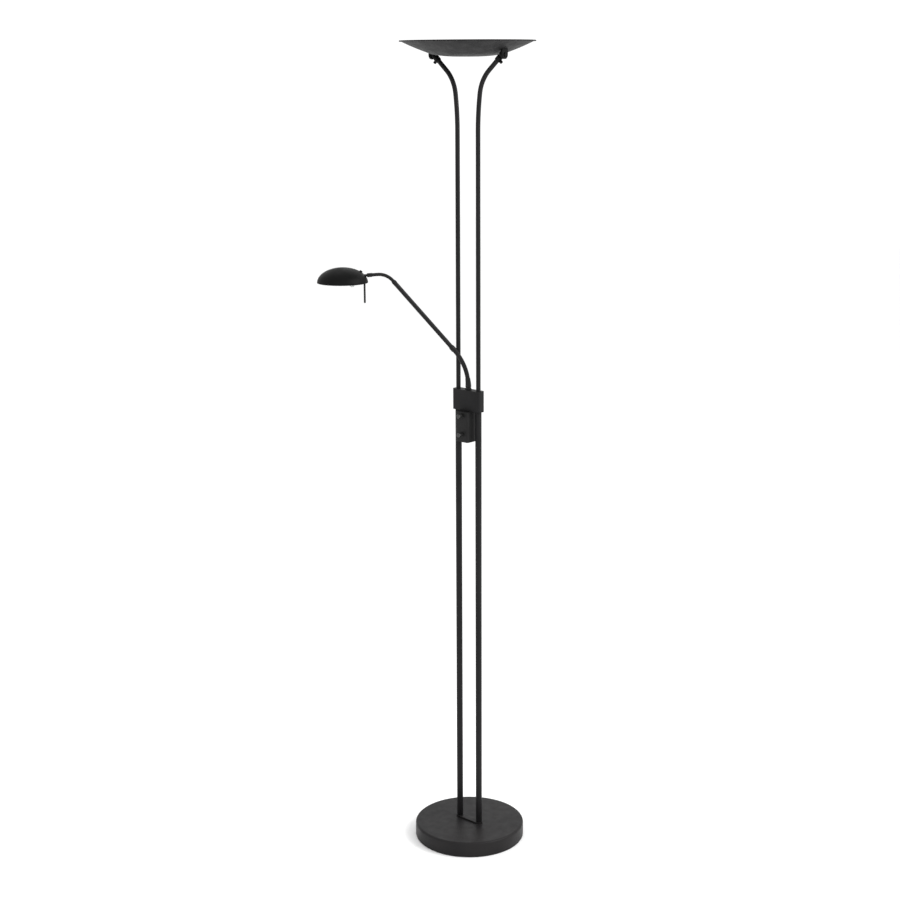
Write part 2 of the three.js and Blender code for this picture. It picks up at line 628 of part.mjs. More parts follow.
function makeLampGear() {
  const footRadius = 4;
  const floor = dishUnderside(bracketStudX + footRadius) + DISH_SHEET + GAP;
  const sheet = BRACKET.sheet;
  const trayLength = LAMP.length + 2 * HOLDER.length + 2 * sheet + 2;
  const trayCorner = Math.hypot(trayLength, BRACKET.width) / 2;
  const trayBottom = dishUnderside(trayCorner) + DISH_SHEET + 3 * GAP;
  const lampZ = trayBottom + sheet + 2 * GAP + SMALL_SCREW.headHeight + 0.5 + LAMP.radius;
  const holderTop = lampZ + LAMP.radius + 1;
  const shieldZ = holderTop + GAP;
  const tray = box(trayLength, BRACKET.width, sheet, 0, 0, trayBottom);
  const ends = [-1, 1].map((sign) => box(
    sheet,
    BRACKET.width,
    shieldZ - GAP - trayBottom,
    sign * (trayLength - sheet) / 2,
    0,
    trayBottom,
  ));
  const trayTop = trayBottom + sheet;
  const feet = SIDES.map(({ sign }) => rod(footRadius, floor, trayTop, 12)
    .translate(sign * bracketStudX, 0, 0));
  const holes = SIDES.map(({ sign }) => rod(SMALL_SCREW.hole, floor - 1, trayTop + 1, 12)
    .translate(sign * bracketStudX, 0, 0));
  part("lamp_bracket", cut(join(tray, ...ends, ...feet), ...holes), STEEL);

  const half = LAMP.length / 2;
  SIDES.forEach(({ name, sign }) => {
    const holderX = sign * (LAMP.length / 2 + HOLDER.length / 2 + GAP);
    const holder = roundedBlock(HOLDER.length, HOLDER.width, holderTop - trayTop - GAP, 2, 3)
      .translate(holderX, 0, trayTop + GAP);
    const inward = new THREE.Vector3(sign, 0, 0);
    const socket = along(rod(LAMP.capRadius + GAP, half - 1, half + LAMP.capLength + 2, 12), inward)
      .translate(0, 0, lampZ);
    part(`lamp_holder_${name}`, cut(holder, socket), CERAMIC);
    const screw = smallScrew(studSeat + GAP, trayTop + GAP);
    part(`bracket_screw_${name}`, screw, STEEL).position.x = sign * bracketStudX;
  });

  const capEnd = half + LAMP.capLength;
  const linearLamp = turned([
    [0, -capEnd],
    [LAMP.capRadius, -capEnd],
    [LAMP.capRadius, 3 - half],
    [LAMP.radius, 7 - half],
    [LAMP.radius, half - 7],
    [LAMP.capRadius, half - 3],
    [LAMP.capRadius, capEnd],
    [0, capEnd],
  ], 20);
  part("halogen_tube", along(linearLamp, AXES.x), GLASS).position.z = lampZ;
  const shield = box(trayLength, SHIELD.depth, SHIELD.thickness, 0, 0, shieldZ);
  part("shield_glass", shield, GLASS);
}

// ---- Reading arm: built in the plane x = outward, then turned to its azimuth ----
const arm = new THREE.Group();
arm.rotation.z = THREE.MathUtils.degToRad(ARM_AZIMUTH);
lamp.add(arm);

const gooseneckFoot = new THREE.Vector3(0, 0, blockTop + ARM_SOCKET_RISE);
const outward = AXES.x;

function makeArm() {
  const socket = turned([
    [WIRE_BORE_RADIUS, blockTop - SEAT_DEPTH + GAP],
    [socketBoreRadius, blockTop - SEAT_DEPTH + GAP],
    [socketBoreRadius, blockTop + GAP],
    [7, blockTop + GAP],
    [7, blockTop + 2],
    [LOWER_GOOSENECK.radius + 0.4, gooseneckFoot.z - GAP],
    [WIRE_BORE_RADIUS, gooseneckFoot.z - GAP],
    [WIRE_BORE_RADIUS, blockTop - SEAT_DEPTH + GAP],
  ]);
  part("arm_socket", socket, BLACK_COAT, arm);

  const lowerBend = { radius: LOWER_GOOSENECK.bendRadius, degrees: LOWER_GOOSENECK.degrees };
  const lower = walk(gooseneckFoot, AXES.z, [{ ...lowerBend, steps: 8, toward: outward }]);
  part("lower_gooseneck", tube(lower, LOWER_GOOSENECK.radius, WIRE_BORE_RADIUS, 8), BLACK_COAT, arm);

  const rise = lower.at(-1).tangent;
  const lowerTop = lower.at(-1).point;
  const lowerFerrule = ferrule(LOWER_GOOSENECK.radius, ARM_TUBE.radius, FERRULE.lowerLength);
  part("lower_ferrule", along(lowerFerrule, rise), BLACK_COAT, arm)
    .position.copy(lowerTop).addScaledVector(rise, GAP);
  const tubeStart = lowerTop.clone().addScaledVector(rise, GAP + FERRULE.lowerLength + GAP);
  const tubeEnd = tubeStart.clone().addScaledVector(rise, ARM_TUBE.length);
  const straight = walk(tubeStart, rise, [{ straight: ARM_TUBE.length }]);
  part("arm_tube", tube(straight, ARM_TUBE.radius, ARM_TUBE.radius - POLE_WALL, 12), BLACK_COAT, arm);
  const upperFerrule = ferrule(ARM_TUBE.radius, UPPER_GOOSENECK.radius, FERRULE.upperLength);
  part("upper_ferrule", along(upperFerrule, rise), BLACK_COAT, arm)
    .position.copy(tubeEnd).addScaledVector(rise, GAP);

  const upperStart = tubeEnd.clone().addScaledVector(rise, GAP + FERRULE.upperLength + GAP);
  const { bendRadius, degrees, run } = UPPER_GOOSENECK;
  const upper = walk(upperStart, rise, [
    { radius: bendRadius, degrees, steps: 8, toward: outward.clone().setZ(-1) },
    { straight: run },
  ]);
  const upperTube = tube(upper, UPPER_GOOSENECK.radius, UPPER_GOOSENECK.radius - POLE_WALL, 8);
  part("upper_gooseneck", upperTube, BLACK_COAT, arm);
  return upper.at(-1);
}

// A short collar that carries one tube into the next.
function ferrule(fromRadius, toRadius, length) {
  const collar = Math.max(fromRadius, toRadius) + FERRULE.overTube;
  return turned([
    [FERRULE.bore, 0],
    [fromRadius + 0.3, 0],
    [collar, 1],
    [collar, length - 3],
    [toRadius + 0.3, length],
    [FERRULE.bore, length],
    [FERRULE.bore, 0],
  ]);
}

// ---- Reading head: level shade on a block at the end of the neck ----
function shadeProfile(offset) {
  const steps = 8;
  const points = [];
  for (let step = 0; step <= steps; step += 1) {
    const angle = (Math.PI / 2) * (step / steps);
    const radius = (SHADE_RADIUS - offset) * Math.cos(angle);
    points.push([step === steps ? 0 : radius, (SHADE_HEIGHT - offset) * Math.sin(angle)]);
  }
  return points;
}

function makeHead(neckEnd) {
  const neckStart = neckEnd.point.clone().addScaledVector(neckEnd.tangent, GAP);
  const neckTip = neckStart.clone().addScaledVector(neckEnd.tangent, NECK.length);
  const neckRadius = UPPER_GOOSENECK.radius + NECK.overTube;
  const neck = turned([
    [NECK.bore, 0],
    [neckRadius, 0],
    [neckRadius, NECK.length - NECK.spigot],
    [NECK.spigotRadius, NECK.length - NECK.spigot],
    [NECK.spigotRadius, NECK.length],
    [NECK.bore, NECK.length],
    [NECK.bore, 0],
  ]);
  part("neck_ferrule", along(neck, neckEnd.tangent), BLACK_COAT, arm).position.copy(neckStart);

  const rimHeight = neckTip.z - NECK_ABOVE_RIM;
  const halfBlock = HEAD_BLOCK.length / 2;
  const blockX = neckTip.x + halfBlock - HEAD_BLOCK.aheadOfTip;
  const sideAngle = Math.asin(NECK_ABOVE_RIM / SHADE_HEIGHT);
  const headX = neckTip.x - 6 + SHADE_RADIUS * Math.cos(sideAngle);
  const head = new THREE.Group();
  head.position.set(headX, 0, rimHeight);
  arm.add(head);
  const localNeck = neckTip.clone().sub(head.position);
  const neckHole = along(rod(NECK.spigotRadius + GAP, -NECK.length - 10, 2 * GAP), neckEnd.tangent)
    .translate(...localNeck.toArray());

  const outer = shadeProfile(0);
  const inner = shadeProfile(SHADE_SHEET).reverse();
  const shade = turned([...outer, ...inner, outer[0]], ROUND_STEPS.medium);
  const capX = blockX - headX + 1;
  const capAngle = Math.acos(capX / -SHADE_RADIUS);
  const capZ = SHADE_HEIGHT * Math.sin(capAngle);
  const capNormal = new THREE.Vector3(capX / SHADE_RADIUS ** 2, 0, capZ / SHADE_HEIGHT ** 2).normalize();
  const capSpot = new THREE.Vector3(capX, 0, capZ);
  const capHole = along(rod(CAP_NUT.hole, -8, 8, 12), capNormal).translate(...capSpot.toArray());
  part("reading_shade", cut(shade, neckHole, capHole), BLACK_COAT, head);

  const insideShade = turned([[0, 0], ...shadeProfile(SHADE_SHEET + GAP)], ROUND_STEPS.medium);
  const block = box(
    HEAD_BLOCK.length,
    HEAD_BLOCK.width,
    SHADE_HEIGHT,
    blockX - headX,
    0,
    localNeck.z - HEAD_BLOCK.height / 2,
  );
  const blockSolid = toSolid(block).intersect(toSolid(insideShade));
  const gripX = blockX - headX - halfBlock + GRIP.radius + 2;
  const gripTop = localNeck.z - HEAD_BLOCK.height / 2 + 2.5;
  const gripHole = rod(GRIP.radius + GAP, -5, gripTop + GAP, 12).translate(gripX, 0, 0);
  part("head_block", cut(toGeometry(blockSolid), neckHole, gripHole, capHole), BLACK_COAT, head);

  const nut = turned([
    [0, -5],
    [CAP_NUT.shank, -5],
    [CAP_NUT.shank, GAP],
    [CAP_NUT.head, GAP],
    [CAP_NUT.head, GAP + CAP_NUT.headHeight / 2],
    [CAP_NUT.head - 1, GAP + CAP_NUT.headHeight - 0.4],
    [0, GAP + CAP_NUT.headHeight],
  ], 12);
  part("cap_nut", along(nut, capNormal), BLACK_COAT, head).position.copy(capSpot);

  const gripTip = -GRIP.drop;
  const grip = turned([
    [0, gripTip],
    [GRIP.radius * 0.7, gripTip + 0.5],
    [GRIP.radius, gripTip + 1.6],
    [GRIP.radius, gripTop],
    [0, gripTop],
  ], 12);
  part("grip_rod", grip, BLACK_COAT, head).position.x = gripX;

  const bulbX = blockX - headX + halfBlock + GAP + BULB_SOCKET.length / 2;
  const farCorner = Math.hypot(Math.abs(bulbX) + BULB_SOCKET.length / 2, BULB_SOCKET.width / 2);
  const socketTop = SHADE_HEIGHT * Math.sqrt(1 - (farCorner / SHADE_RADIUS) ** 2) - SHADE_SHEET - 1;
  const socketBottom = socketTop - BULB_SOCKET.height;
  const socketBody = roundedBlock(BULB_SOCKET.length, BULB_SOCKET.width, BULB_SOCKET.height, 3, 3)
    .translate(0, 0, socketBottom);
  const socketBore = rod(4, socketBottom - 1, socketBottom + 7, 12);
  part("bulb_socket", cut(socketBody, socketBore), CERAMIC, head).position.x = bulbX;
  const bulb = turned([
    [0, -BULB.drop],
    [2.5, -BULB.drop + 0.6],
    [BULB.radius - 1, -BULB.drop + 4],
    [BULB.radius, -BULB.drop + 8],
    [BULB.radius, socketBottom - 3],
    [3.6, socketBottom - 1],
    [3.6, socketBottom + 6],
    [0, socketBottom + 6],
  ], 20);
  part("capsule_bulb", bulb, GLASS, head).position.x = bulbX;
}

makeBase();
makePoles();
makeBlock();
makeHousing();
makeCables();
makeDish();
makeHead(makeArm());

export default lamp;
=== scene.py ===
"""Floor lamp with a dish uplighter and a reading arm: looks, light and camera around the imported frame.

Everything is in metres in the frame's own axes: +Z up, +X along the pair of poles, knobs facing -Y.
"""
import json
import math

import bmesh
import bpy
from mathutils import Matrix, Vector

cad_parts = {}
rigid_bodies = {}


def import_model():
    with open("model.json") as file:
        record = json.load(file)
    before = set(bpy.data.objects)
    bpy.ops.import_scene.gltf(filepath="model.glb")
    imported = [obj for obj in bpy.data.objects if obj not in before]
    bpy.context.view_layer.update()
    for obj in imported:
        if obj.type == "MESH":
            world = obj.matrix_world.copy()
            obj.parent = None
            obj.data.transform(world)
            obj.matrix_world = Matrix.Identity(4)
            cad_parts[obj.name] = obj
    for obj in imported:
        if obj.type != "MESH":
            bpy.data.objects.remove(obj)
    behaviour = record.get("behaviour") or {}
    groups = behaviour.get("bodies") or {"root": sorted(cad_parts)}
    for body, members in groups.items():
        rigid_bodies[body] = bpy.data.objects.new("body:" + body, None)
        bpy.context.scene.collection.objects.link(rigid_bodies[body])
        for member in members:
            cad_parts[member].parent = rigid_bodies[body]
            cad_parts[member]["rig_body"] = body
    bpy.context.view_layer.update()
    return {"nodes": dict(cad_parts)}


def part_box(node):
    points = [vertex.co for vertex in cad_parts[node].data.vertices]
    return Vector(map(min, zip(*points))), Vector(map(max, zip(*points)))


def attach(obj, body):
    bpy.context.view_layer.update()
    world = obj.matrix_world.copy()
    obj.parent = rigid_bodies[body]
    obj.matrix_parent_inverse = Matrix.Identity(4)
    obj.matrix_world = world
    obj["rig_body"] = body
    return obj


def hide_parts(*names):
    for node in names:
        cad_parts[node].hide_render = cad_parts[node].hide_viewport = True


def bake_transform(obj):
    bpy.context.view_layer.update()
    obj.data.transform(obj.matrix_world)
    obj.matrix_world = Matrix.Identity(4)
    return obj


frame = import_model()
MM = 0.001
UP = Vector((0, 0, 1))
X_AXIS = Vector((1, 0, 0))
Y_AXIS = Vector((0, 1, 0))
SIDES = (("left", -1), ("right", 1))

# ---- Sizes that the looks need beyond the frame's boxes ----
# Bends and arcs are (radius, degrees); hose ribs are (pitch, depth).
# GAP is the clearance between touching pieces of the arm.
GAP = 0.3 * MM
BASE_EDGE = 5 * MM
BASE_SHEET = 1.5 * MM

SLOW_BEND = (600 * MM, 7.5)
FAST_BEND = (78 * MM, 41.0)
POLE_TOP_RUN = 38 * MM
UPPER_POLE_WALL = 1 * MM
HOLLOW_DEPTH = 6 * MM

KNOB_DEPTH = 12 * MM
KNOB_SHAFT_RADIUS = 3 * MM
KNOB_FLUTES = 24

DISH_FLOOR_RADIUS = 77 * MM
DISH_FLOOR_RISE = 5.7 * MM
DISH_FLARE = 0.13
DISH_SHEET = 1.4 * MM
RIM_BEAD = 1.3 * MM

ARM_DIRECTION = Vector((-math.sqrt(0.5), -math.sqrt(0.5), 0))
LOWER_ARC = (125 * MM, 40.65)
LOWER_GOOSENECK_RADIUS = 5 * MM
LOWER_RIBS = (2.0 * MM, 0.35 * MM)
LOWER_FERRULE = 12 * MM
HOSE_SLEEVE = 20 * MM
ARM_TUBE_LENGTH = 182 * MM
ARM_TUBE_RADIUS = 4.8 * MM
UPPER_ARC = (40 * MM, 53.35)
UPPER_RUN = 11 * MM
UPPER_GOOSENECK_RADIUS = 3.8 * MM
UPPER_RIBS = (1.7 * MM, 0.3 * MM)
UPPER_FERRULE = 8 * MM

SHADE_SHEET = 1.2 * MM
BULB_PIN_RADIUS = 3.4 * MM

# ---- Camera and light; the lens and the sensor are in millimetres ----
CAMERA_DISTANCE = 3.577
CAMERA_HEIGHT = 1.756
CAMERA_AZIMUTH = math.radians(42)
CAMERA_DOWN = math.radians(13.16)
CAMERA_ROLL = math.radians(-0.3)
CAMERA_SHIFT_LEFT = 0.041
CAMERA_LENS = 66.4
CAMERA_SENSOR = 36
WORLD_STRENGTH = 1.08
LIGHT_TARGET = Vector((0, 0, 1.0))


# ---- Materials ----
class Material:
    """A node material, built step by step around one Principled shader."""

    def __init__(self, name):
        self.material = bpy.data.materials.new(name)
        self.material.use_nodes = True
        self.nodes = self.material.node_tree.nodes
        self.links = self.material.node_tree.links
        self.shader = self.nodes["Principled BSDF"]
        coordinates = self.nodes.new("ShaderNodeTexCoord")
        self.place = coordinates.outputs["Object"]

    def set(self, **values):
        for name, value in values.items():
            self.shader.inputs[name.replace("_", " ")].default_value = value

    def noise(self, scale, detail=3.0, rough=0.5, stretch=None):
        """Noise in the object's own place; scale is in features per metre."""
        node = self.nodes.new("ShaderNodeTexNoise")
        node.inputs["Scale"].default_value = scale
        node.inputs["Detail"].default_value = detail
        node.inputs["Roughness"].default_value = rough
        place = self.place
        if stretch:
            mapping = self.nodes.new("ShaderNodeMapping")
            mapping.inputs["Scale"].default_value = stretch
            self.links.new(place, mapping.inputs["Vector"])
            place = mapping.outputs["Vector"]
        self.links.new(place, node.inputs["Vector"])
        return node.outputs["Fac"]

    def colour(self, factor, dark, light, low=0.35, high=0.65):
        """Base colour from dark to light as the factor goes from low to high."""
        ramp = self.nodes.new("ShaderNodeValToRGB")
        ramp.color_ramp.elements[0].position = low
        ramp.color_ramp.elements[0].color = (*dark, 1)
        ramp.color_ramp.elements[1].position = high
        ramp.color_ramp.elements[1].color = (*light, 1)
        self.links.new(factor, ramp.inputs["Fac"])
        self.links.new(ramp.outputs["Color"], self.shader.inputs["Base Color"])

    def roughness(self, factor, low, high):
        node = self.nodes.new("ShaderNodeMapRange")
        node.inputs["From Min"].default_value = 0.3
        node.inputs["From Max"].default_value = 0.7
        node.inputs["To Min"].default_value = low
        node.inputs["To Max"].default_value = high
        self.links.new(factor, node.inputs["Value"])
        self.links.new(node.outputs["Result"], self.shader.inputs["Roughness"])

    def bump(self, factor, depth, strength=1.0):
        node = self.nodes.new("ShaderNodeBump")
        node.inputs["Strength"].default_value = strength
        node.inputs["Distance"].default_value = depth
        self.links.new(factor, node.inputs["Height"])
        self.links.new(node.outputs["Normal"], self.shader.inputs["Normal"])


def powder_coat(name, dark, light, roughness, specular):
    """Satin black powder coat: fine orange peel, a slow drift in tone and in gloss."""
    coat = Material(name)
    coat.colour(coat.noise(14, 4), dark, light)
    coat.roughness(coat.noise(55, 5), roughness - 0.06, roughness + 0.08)
    coat.bump(coat.noise(1500, 2, 0.6), 0.06 * MM, 0.5)
    coat.set(Metallic=0.0, IOR=1.5, Specular_IOR_Level=specular)
    return coat.material


def moulded_plastic(name, dark, light, roughness, specular):
    """Moulded plastic with a fine spark-eroded grain."""
    plastic = Material(name)
    plastic.colour(plastic.noise(30, 3), dark, light)
    plastic.roughness(plastic.noise(120, 4), roughness - 0.05, roughness + 0.07)
    plastic.bump(plastic.noise(2600, 3, 0.7), 0.05 * MM, 0.6)
    plastic.set(Specular_IOR_Level=specular)
    return plastic.material


def zinc_steel(name):
    """Zinc-plated steel with a drawn grain and faint clouding."""
    steel = Material(name)
    steel.colour(steel.noise(60, 4), (0.42, 0.42, 0.43), (0.6, 0.6, 0.61))
    steel.roughness(steel.noise(900, 3, stretch=(1, 0.06, 1)), 0.24, 0.42)
    steel.set(Metallic=1.0)
    return steel.material


def cast_iron(name):
    """Raw cast iron, dark and grainy."""
    iron = Material(name)
    iron.colour(iron.noise(90, 6), (0.045, 0.043, 0.04), (0.11, 0.1, 0.095))
    iron.roughness(iron.noise(200, 4), 0.65, 0.85)
    iron.bump(iron.noise(500, 6), 0.4 * MM, 0.7)
    iron.set(Metallic=0.6)
    return iron.material


def rubber(name):
    """Dull black rubber with a fine grain."""
    soft = Material(name)
    soft.colour(soft.noise(80, 4), (0.016, 0.016, 0.016), (0.03, 0.03, 0.03))
    soft.roughness(soft.noise(300, 3), 0.75, 0.9)
    soft.bump(soft.noise(1800, 3), 0.08 * MM, 0.5)
    return soft.material


def ceramic(name):
    """Steatite, off-white with a slight sheen."""
    stone = Material(name)
    stone.colour(stone.noise(120, 4), (0.7, 0.67, 0.6), (0.82, 0.8, 0.74))
    stone.roughness(stone.noise(250, 3), 0.35, 0.5)
    stone.bump(stone.noise(900, 3), 0.04 * MM, 0.4)
    return stone.material


def board_green(name):
    """Solder lacquer over faint copper tracks."""
    board = Material(name)
    board.colour(board.noise(400, 2, stretch=(1, 1, 0.2)), (0.02, 0.09, 0.03), (0.03, 0.15, 0.05))
    board.roughness(board.noise(200, 2), 0.35, 0.5)
    return board.material


def clear_glass(name, tint):
    """Lamp glass: clear, with the faint waviness of drawn tube."""
    glass = Material(name)
    glass.colour(glass.noise(25, 2), tint, tuple(min(1, c * 1.03) for c in tint))
    glass.roughness(glass.noise(80, 2), 0.03, 0.08)
    glass.bump(glass.noise(60, 2), 0.05 * MM, 0.3)
    glass.set(IOR=1.47, Transmission_Weight=0.9)
    return glass.material


def satin_white(name):
    """The pale reflecting coat on the inside of the dish and of the reading shade."""
    paint = Material(name)
    paint.colour(paint.noise(12, 4), (0.50, 0.50, 0.485), (0.57, 0.57, 0.555))
    paint.roughness(paint.noise(70, 4), 0.38, 0.5)
    paint.bump(paint.noise(1400, 2), 0.04 * MM, 0.4)
    return paint.material


def grey(level):
    """A neutral colour."""
    return (level, level, level)


COAT = powder_coat("black_powder_coat", (0.0075, 0.0075, 0.008), (0.011, 0.0105, 0.011), 0.52, 0.15)
BASE_COAT = powder_coat("base_powder_coat", (0.0085, 0.008, 0.0085), (0.013, 0.012, 0.0123), 0.44, 0.14)
SHADE_COAT = powder_coat("shade_powder_coat", grey(0.0025), grey(0.004), 0.5, 0.08)
# This darker coat is also laid on the dish's rim bead as painted shade, a dark band round the rim.
FITTING_COAT_AND_RIM_SHADE = powder_coat("fitting_coat_and_painted_rim_shade", grey(0.003), grey(0.005), 0.5, 0.1)
PLASTIC = moulded_plastic("black_plastic", grey(0.006), grey(0.009), 0.5, 0.2)
KNOB_PLASTIC = moulded_plastic("knob_plastic", grey(0.012), grey(0.018), 0.28, 0.6)
STEEL = zinc_steel("zinc_steel")
IRON = cast_iron("cast_iron")
RUBBER = rubber("black_rubber")
CERAMIC = ceramic("steatite")
BOARD = board_green("circuit_board_lacquer")
GLASS = clear_glass("lamp_glass", (0.93, 0.95, 0.96))
WHITE = satin_white("reflector_white")


# ---- Mesh helpers ----
def smooth(bm, sharp_angle):
    """Smooth faces with hard edges kept where faces meet at more than the angle."""
    limit = math.radians(sharp_angle)
    for face in bm.faces:
        face.smooth = True
    for edge in bm.edges:
        edge.smooth = len(edge.link_faces) == 2 and edge.calc_face_angle(math.pi) < limit


def to_mesh(bm, name, sharp_angle):
    """A finished mesh with its faces turned outwards; the bmesh is used up."""
    bmesh.ops.recalc_face_normals(bm, faces=bm.faces)
    smooth(bm, sharp_angle)
    mesh = bpy.data.meshes.new(name)
    bm.to_mesh(mesh)
    bm.free()
    return mesh


def make_piece(name, bm, materials, body, replaces=(), sharp_angle=38):
    """Finishes a mesh as a piece: its materials, its body and the CAD nodes it stands for.
    A body of (body, other body, start, end) leaves it unattached, its placement baked into the mesh."""
    piece = bpy.data.objects.new(name, to_mesh(bm, name, sharp_angle))
    bpy.context.scene.collection.objects.link(piece)
    for material in materials:
        piece.data.materials.append(material)
    if isinstance(body, tuple):
        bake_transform(piece)
    else:
        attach(piece, body)
    if replaces:
        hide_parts(*replaces)
    return piece


def axis_frame(axis):
    """Two directions across an axis."""
    across = axis.cross(UP if abs(axis.z) < 0.9 else X_AXIS).normalized()
    return across, axis.cross(across).normalized()


def ring_of(bm, centre, radius, first, second, segments):
    """A closed ring of points in the plane of two directions."""
    ring = []
    for step in range(segments):
        angle = 2 * math.pi * step / segments
        ring.append(bm.verts.new(centre + radius * (math.cos(angle) * first + math.sin(angle) * second)))
    return ring


def lathe(profile, origin=Vector(), axis=UP, segments=64, wobble=None):
    """A solid of revolution from (radius, height) points; points on the axis close the ends.
    wobble(angle, height) is a factor on the radius."""
    bm = bmesh.new()
    across, beside = axis_frame(axis)
    rings = []
    for radius, height in profile:
        centre = origin + axis * height
        if radius < 1e-7:
            rings.append([bm.verts.new(centre)])
            continue
        ring = []
        for step in range(segments):
            angle = 2 * math.pi * step / segments
            reach = radius * (wobble(angle, height) if wobble else 1)
            out = math.cos(angle) * across + math.sin(angle) * beside
            ring.append(bm.verts.new(centre + reach * out))
        rings.append(ring)
    join_rings(bm, rings)
    return bm


def join_rings(bm, rings):
    """Faces between each ring and the next; a ring of one point makes a fan."""
    for first, second in zip(rings, rings[1:]):
        count = max(len(first), len(second))
        for step in range(count):
            after = (step + 1) % count
            if len(first) == 1 and len(second) == 1:
                continue
            if len(first) == 1:
                bm.faces.new((first[0], second[after], second[step]))
            elif len(second) == 1:
                bm.faces.new((first[step], first[after], second[0]))
            else:
                bm.faces.new((first[step], first[after], second[after], second[step]))


def rounded(profile, radius, steps=5):
    """The same outline with each inner corner rounded by an arc-like curve of the given reach."""
    out = [profile[0]]
    for before, corner, after in zip(profile, profile[1:], profile[2:]):
        into = Vector(before) - Vector(corner)
        onward = Vector(after) - Vector(corner)
        reach = min(radius, into.length * 0.49, onward.length * 0.49)
        start = Vector(corner) + into.normalized() * reach
        end = Vector(corner) + onward.normalized() * reach
        for step in range(steps + 1):
            t = step / steps
            point = start * (1 - t) ** 2 + Vector(corner) * 2 * t * (1 - t) + end * t ** 2
            out.append((point.x, point.y))
    out.append(profile[-1])
    return out


def walk(start, heading, moves):
    """Stations (point, tangent) along straights ("straight", length, steps) and
    bends ("bend", radius, degrees, toward, steps)."""
    stations = [(start.copy(), heading.normalized())]
    for move in moves:
        point, tangent = stations[-1]
        if move[0] == "straight":
            _, length, steps = move
            stations += [(point + tangent * length * (i + 1) / steps, tangent) for i in range(steps)]
            continue
        _, radius, degrees, toward, steps = move
        side = (toward - tangent * toward.dot(tangent)).normalized()
        centre = point + side * radius
        for i in range(steps):
            angle = math.radians(degrees) * (i + 1) / steps
            place = centre - side * radius * math.cos(angle) + tangent * radius * math.sin(angle)
            stations.append((place, tangent * math.cos(angle) + side * math.sin(angle)))
    return stations


def sweep(stations, radius, across, segments=32, hollow=0.0):
    """A tube round a flat path; across is square to the path's plane. radius may be a function of
    the distance along. With hollow, the ends open into a short bore; else they are capped."""
    bm = bmesh.new()
    rings = []
    distance = 0.0
    before = stations[0][0]
    for place, tangent in stations:
        distance += (place - before).length
        before = place
        reach = radius(distance) if callable(radius) else radius
        side = tangent.cross(across)
        rings.append(ring_of(bm, place, reach, across, side, segments))
    join_rings(bm, rings)
    if hollow:
        inner = []
        for place, tangent in (stations[0], stations[-1]):
            side = tangent.cross(across)
            depth = tangent * HOLLOW_DEPTH * (1 if place is stations[0][0] else -1)
            for shift in (Vector(), depth):
                inner.append(ring_of(bm, place + shift, hollow, across, side, segments))
        join_rings(bm, [rings[0], inner[0], inner[1]])
        join_rings(bm, [rings[-1], inner[2], inner[3]])
        bm.faces.new(inner[1])
        bm.faces.new(inner[3])
    else:
        bm.faces.new(rings[0])
        bm.faces.new(rings[-1])
    return bm


def coil(centre, axis, radius, wire, length, turns, per_turn=14, sides=6):
    """A wire wound round an axis, centred on a point."""
    across, beside = axis_frame(axis)
    bm = bmesh.new()
    rings = []
    for step in range(turns * per_turn + 1):
        angle = 2 * math.pi * step / per_turn
        out = math.cos(angle) * across + math.sin(angle) * beside
        place = centre + axis * length * (step / (turns * per_turn) - 0.5) + radius * out
        rings.append(ring_of(bm, place, wire, out, axis, sides))
    join_rings(bm, rings)
    bm.faces.new(rings[0])
    bm.faces.new(rings[-1])
    return bm


def rounded_end(radius, depth, bottom, steps):
    """A quarter ellipse from the axis out to the radius, for the lower end of a rod."""
    angles = [math.pi / 2 * k / steps for k in range(steps + 1)]
    return [(radius * math.sin(a), bottom + depth * (1 - math.cos(a))) for a in angles]


def refined(node, name, material, bevel=0.4, segments=3, sharp_angle=30):
    """A copy of a CAD solid with its flat facets merged and its edges broken, as a cast or
    moulded piece has them."""
    bm = bmesh.new()
    bm.from_mesh(frame["nodes"][node].data)
    bmesh.ops.remove_doubles(bm, verts=bm.verts, dist=0.002 * MM)
    bmesh.ops.dissolve_limit(bm, angle_limit=math.radians(1), verts=bm.verts, edges=bm.edges)
    edges = [
        edge for edge in bm.edges
        if len(edge.link_faces) == 2 and edge.calc_face_angle(0) > math.radians(sharp_angle)
    ]
    if bevel and edges:
        bmesh.ops.bevel(
            bm, geom=edges, offset=bevel * MM, offset_type="OFFSET", segments=segments,
            profile=0.6, affect="EDGES", clamp_overlap=True, miter_outer="ARC",
        )
    body = frame["nodes"][node]["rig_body"]
    make_piece(name, bm, [material], body, [node], sharp_angle=25)


def middle(node):
    """The middle of a node's box."""
    low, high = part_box(node)
    return (low + high) / 2


